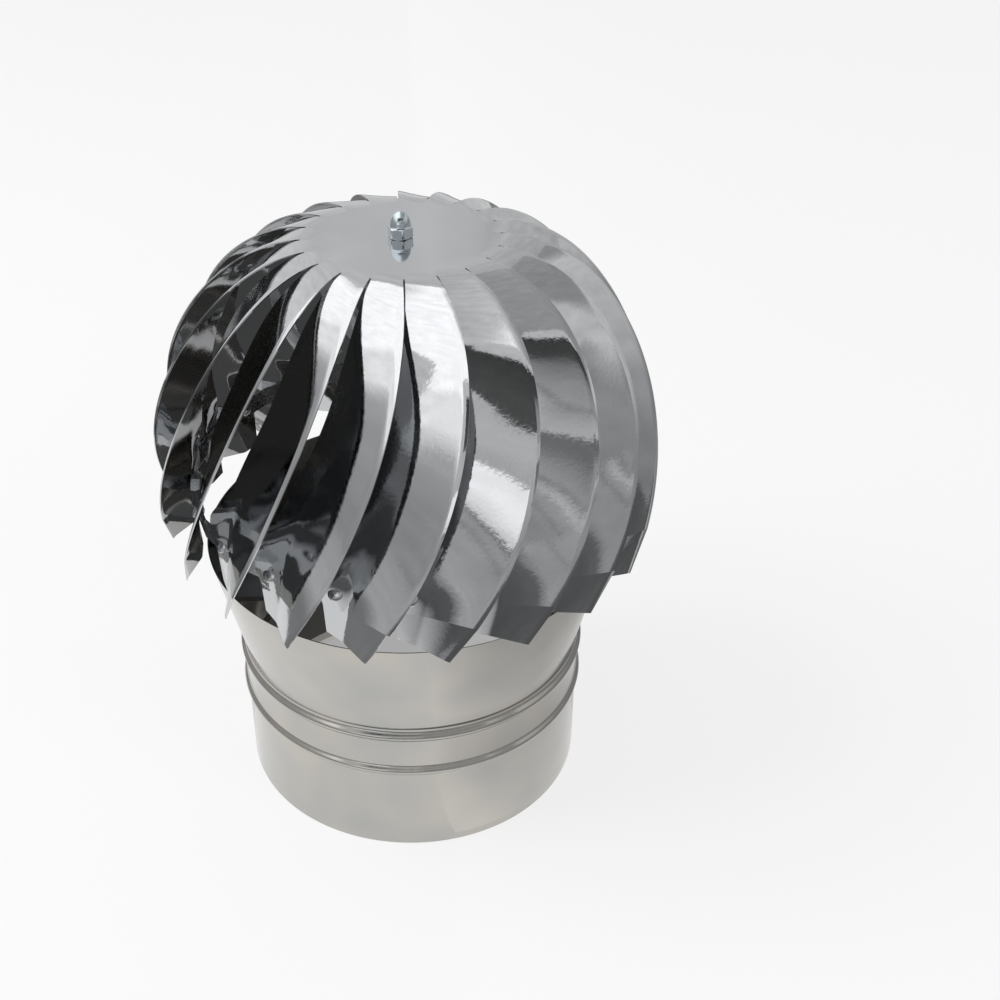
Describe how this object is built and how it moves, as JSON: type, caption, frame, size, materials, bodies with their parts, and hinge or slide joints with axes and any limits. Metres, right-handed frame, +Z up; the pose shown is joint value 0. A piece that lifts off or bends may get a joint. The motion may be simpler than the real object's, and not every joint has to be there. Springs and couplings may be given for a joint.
{
  "type": "chimney cowl",
  "caption": "Wind-turned chimney cowl: a domed rotor of twisted sheet petals spins on a spindle above a flared funnel and a beaded spigot that slips into a round flue.",
  "frame": {"origin": "centre of the spigot's bottom rim", "axes": "+Z up along the spindle, -Y towards the viewer of the picture"},
  "size_m": [0.2432, 0.2432, 0.3026],
  "materials": {
    "mirror_stainless": "mirror polished stainless sheet",
    "satin_stainless": "satin stainless sheet",
    "ring_stainless": "bright rolled strip",
    "frame_steel": "plain mill finish",
    "rivet_steel": "bright rivet heads",
    "zinc_steel": "bluish zinc plate",
    "bush_bronze": "plain sintered bronze"
  },
  "bodies": {
    "base": {"spigot_collar": "satin_stainless", "funnel": "satin_stainless", "bridge_bar": "frame_steel", "bearing_tube": "frame_steel", "upper_bush": "bush_bronze", "lower_bush": "bush_bronze"},
    "rotor": {"rotor_shell": "mirror_stainless", "lower_ring": "ring_stainless", "petal_rivets": "rivet_steel", "spindle": "zinc_steel", "cap_nut": "zinc_steel", "disc_washer": "zinc_steel", "clamp_nut": "zinc_steel", "thrust_washer": "zinc_steel", "support_nut": "zinc_steel", "jam_nut": "zinc_steel", "lower_washer": "zinc_steel", "lock_nut": "zinc_steel"}
  },
  "joints": [
    {"name": "rotor_spin", "type": "hinge", "parent": "base", "child": "rotor", "pos_m": [0, 0, 0.128], "axis": [0, 0, 1], "continuous": true}
  ]
}
